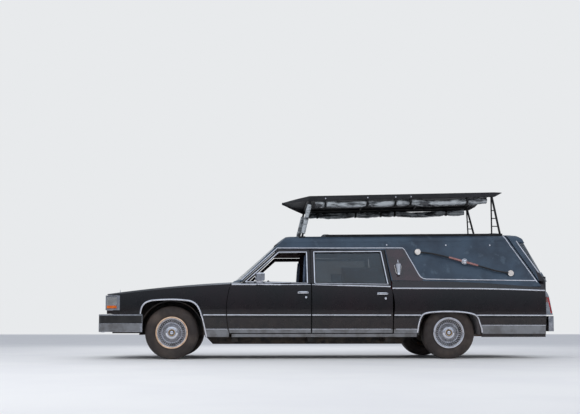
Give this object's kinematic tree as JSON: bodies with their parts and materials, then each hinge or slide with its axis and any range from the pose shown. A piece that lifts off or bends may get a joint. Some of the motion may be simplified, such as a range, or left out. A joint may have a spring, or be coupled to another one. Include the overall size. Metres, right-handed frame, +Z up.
{
  "type": "open-roofed tour hearse",
  "caption": "Long hearse turned into an open-roofed tour car: steered front wheels, side doors, wrap-round rear door, lifting hood, roof canopy on posts.",
  "frame": {"origin": "centre of the car's footprint, on the ground under the middle of its overall box", "axes": "+Z up, -X to the front bumper, +X to the rear door, -Y the driver's left side"},
  "size_m": [6.3402, 2.1962, 2.4188],
  "materials": {
    "body_black": "gloss",
    "vinyl_roof": "grained vinyl",
    "chrome_trim": "polished",
    "wheel_chrome": "polished",
    "tyre_rubber": "matt",
    "glass_tint": "tinted",
    "lamp_red": "gloss",
    "frame_black": "satin",
    "rail_black": "satin",
    "engine_iron": "rough",
    "exhaust_steel": "dull",
    "floor_paint": "satin",
    "canopy_cloth": "woven",
    "clear_vinyl": "clear flexible sheet, rolled",
    "seat_cloth": "upholstery",
    "dash_plastic": "grained"
  },
  "bodies": {
    "root": {"chassis_frame": "frame_black", "front_suspension": "frame_black", "rear_axle": "frame_black", "fuel_tank": "frame_black", "engine": "engine_iron", "exhaust": "exhaust_steel", "floor_pan": "floor_paint", "front_wheelhouses": "floor_paint", "bench_plinths": "floor_paint", "cowl": "body_black", "nose_panel": "body_black", "front_fenders": "body_black", "rocker_sills": "body_black", "quarter_panels": "body_black", "grille": "chrome_trim", "headlamps": "chrome_trim", "front_bumper": "chrome_trim", "rear_bumper": "chrome_trim", "coach_lamps": "chrome_trim", "landau_bars": "chrome_trim", "roof_front": "vinyl_roof", "side_panels": "vinyl_roof", "rear_header": "vinyl_roof", "windscreen": "glass_tint", "tail_lamps": "lamp_red", "canopy_frame": "rail_black", "canopy_top": "canopy_cloth", "curtain_rolls": "clear_vinyl", "front_seat": "seat_cloth", "bench_pads": "seat_cloth", "dashboard": "dash_plastic"},
    "knuckle_left": {"knuckle_left": "frame_black"},
    "front_wheel_left": {"tyre_front_left": "tyre_rubber", "wheel_front_left": "wheel_chrome"},
    "rear_wheel_left": {"tyre_rear_left": "tyre_rubber", "wheel_rear_left": "wheel_chrome"},
    "front_door_left": {"front_door_left": "body_black"},
    "side_door_left": {"side_door_left": "body_black", "side_glass_left": "glass_tint"},
    "knuckle_right": {"knuckle_right": "frame_black"},
    "front_wheel_right": {"tyre_front_right": "tyre_rubber", "wheel_front_right": "wheel_chrome"},
    "rear_wheel_right": {"tyre_rear_right": "tyre_rubber", "wheel_rear_right": "wheel_chrome"},
    "front_door_right": {"front_door_right": "body_black"},
    "side_door_right": {"side_door_right": "body_black", "side_glass_right": "glass_tint"},
    "rear_door": {"rear_door": "body_black", "rear_door_glass": "glass_tint"},
    "hood": {"hood": "body_black"},
    "steering_wheel": {"steering_wheel": "dash_plastic"}
  },
  "joints": [
    {"name": "steer_left", "type": "hinge", "parent": "root", "child": "knuckle_left", "pos_m": [-2.1, -0.715, 0.359], "axis": [0, 0, 1], "range_deg": [-32, 32]},
    {"name": "steer_right", "type": "hinge", "parent": "root", "child": "knuckle_right", "pos_m": [-2.1, 0.715, 0.359], "axis": [0, 0, 1], "range_deg": [-32, 32]},
    {"name": "steering_wheel_turn", "type": "hinge", "parent": "root", "child": "steering_wheel", "pos_m": [-0.7, -0.39, 0.93], "axis": [0.891, 0, 0.454], "range_deg": [-450, 450]},
    {"name": "front_wheel_spin_left", "type": "hinge", "parent": "knuckle_left", "child": "front_wheel_left", "pos_m": [-2.1, -0.785, 0.359], "axis": [0, 1, 0], "continuous": true},
    {"name": "rear_wheel_spin_left", "type": "hinge", "parent": "root", "child": "rear_wheel_left", "pos_m": [1.7, -0.785, 0.359], "axis": [0, 1, 0], "continuous": true},
    {"name": "front_door_swing_left", "type": "hinge", "parent": "root", "child": "front_door_left", "pos_m": [-1.364, -0.982, 0.7], "axis": [0, 0, -1], "range_deg": [0, 65]},
    {"name": "side_door_swing_left", "type": "hinge", "parent": "root", "child": "side_door_left", "pos_m": [-0.208, -0.982, 0.7], "axis": [0, 0, -1], "range_deg": [0, 65]},
    {"name": "front_wheel_spin_right", "type": "hinge", "parent": "knuckle_right", "child": "front_wheel_right", "pos_m": [-2.1, 0.785, 0.359], "axis": [0, 1, 0], "continuous": true},
    {"name": "rear_wheel_spin_right", "type": "hinge", "parent": "root", "child": "rear_wheel_right", "pos_m": [1.7, 0.785, 0.359], "axis": [0, 1, 0], "continuous": true},
    {"name": "front_door_swing_right", "type": "hinge", "parent": "root", "child": "front_door_right", "pos_m": [-1.364, 0.982, 0.7], "axis": [0, 0, 1], "range_deg": [0, 65]},
    {"name": "side_door_swing_right", "type": "hinge", "parent": "root", "child": "side_door_right", "pos_m": [-0.208, 0.982, 0.7], "axis": [0, 0, 1], "range_deg": [0, 65]},
    {"name": "rear_door_swing", "type": "hinge", "parent": "root", "child": "rear_door", "pos_m": [3.138, -0.778, 0.9], "axis": [0, 0, -1], "range_deg": [0, 90]},
    {"name": "hood_lift", "type": "hinge", "parent": "root", "child": "hood", "pos_m": [-1.333, 0, 1.077], "axis": [0, 1, 0], "range_deg": [0, 55]}
  ],
  "couplings": [
    {"joint": "steer_right", "follows": "steer_left", "ratio": 1},
    {"joint": "steering_wheel_turn", "follows": "steer_left", "ratio": 14}
  ]
}
